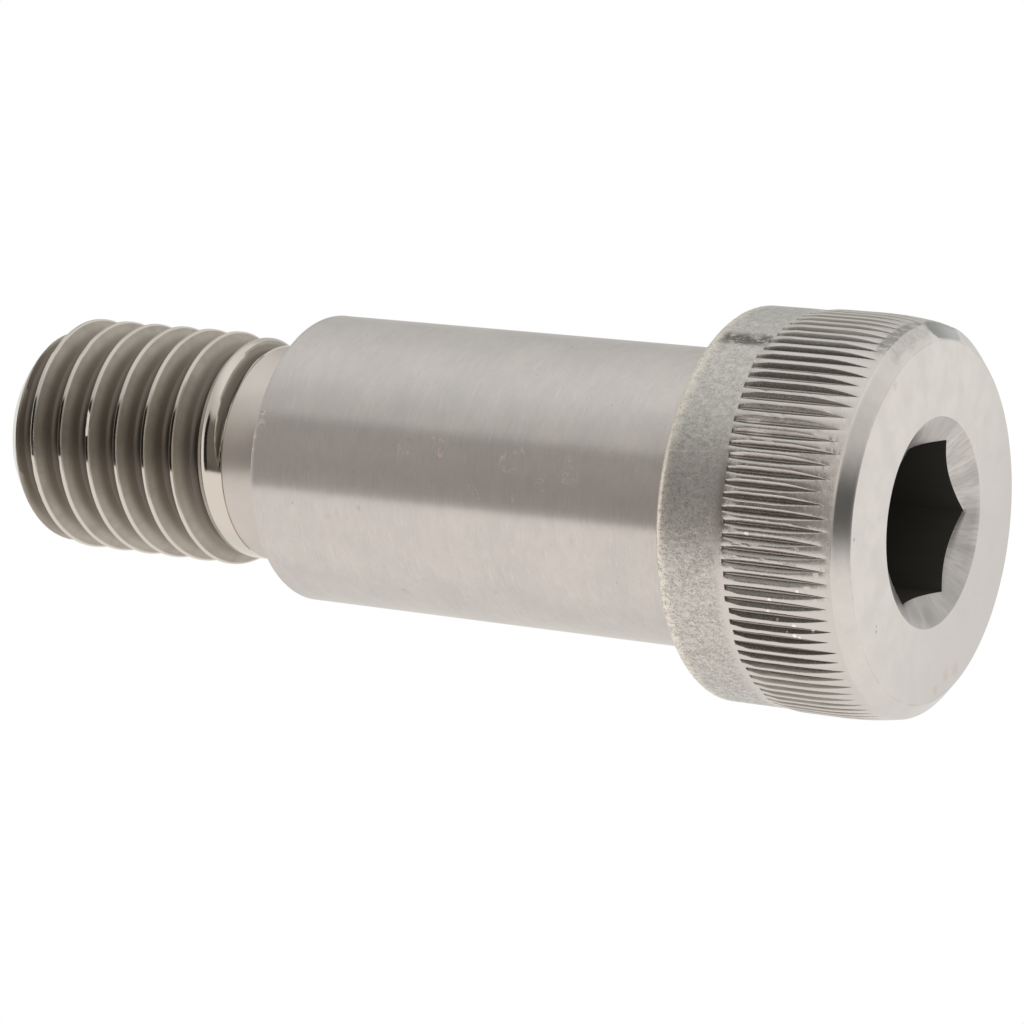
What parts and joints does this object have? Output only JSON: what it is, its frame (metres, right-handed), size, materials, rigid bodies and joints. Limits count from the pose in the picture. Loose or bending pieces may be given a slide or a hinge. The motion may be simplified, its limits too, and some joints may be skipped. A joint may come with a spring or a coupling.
{
  "type": "shoulder bolt",
  "caption": "Stainless shoulder bolt with a knurled cylindrical head, hexagon socket, ground shoulder, short neck and a coarse right-hand thread.",
  "frame": {"origin": "centre of the head's outer face, on which the bolt stands", "axes": "+Z along the bolt's axis from the head towards the thread's tip; a corner of the hexagon socket lies on +X"},
  "size_m": [0.0252, 0.0252, 0.0667],
  "materials": {
    "stainless_steel": "turned and ground stainless steel, bare"
  },
  "bodies": {
    "root": {"shoulder_bolt": "stainless_steel"}
  },
  "joints": []
}
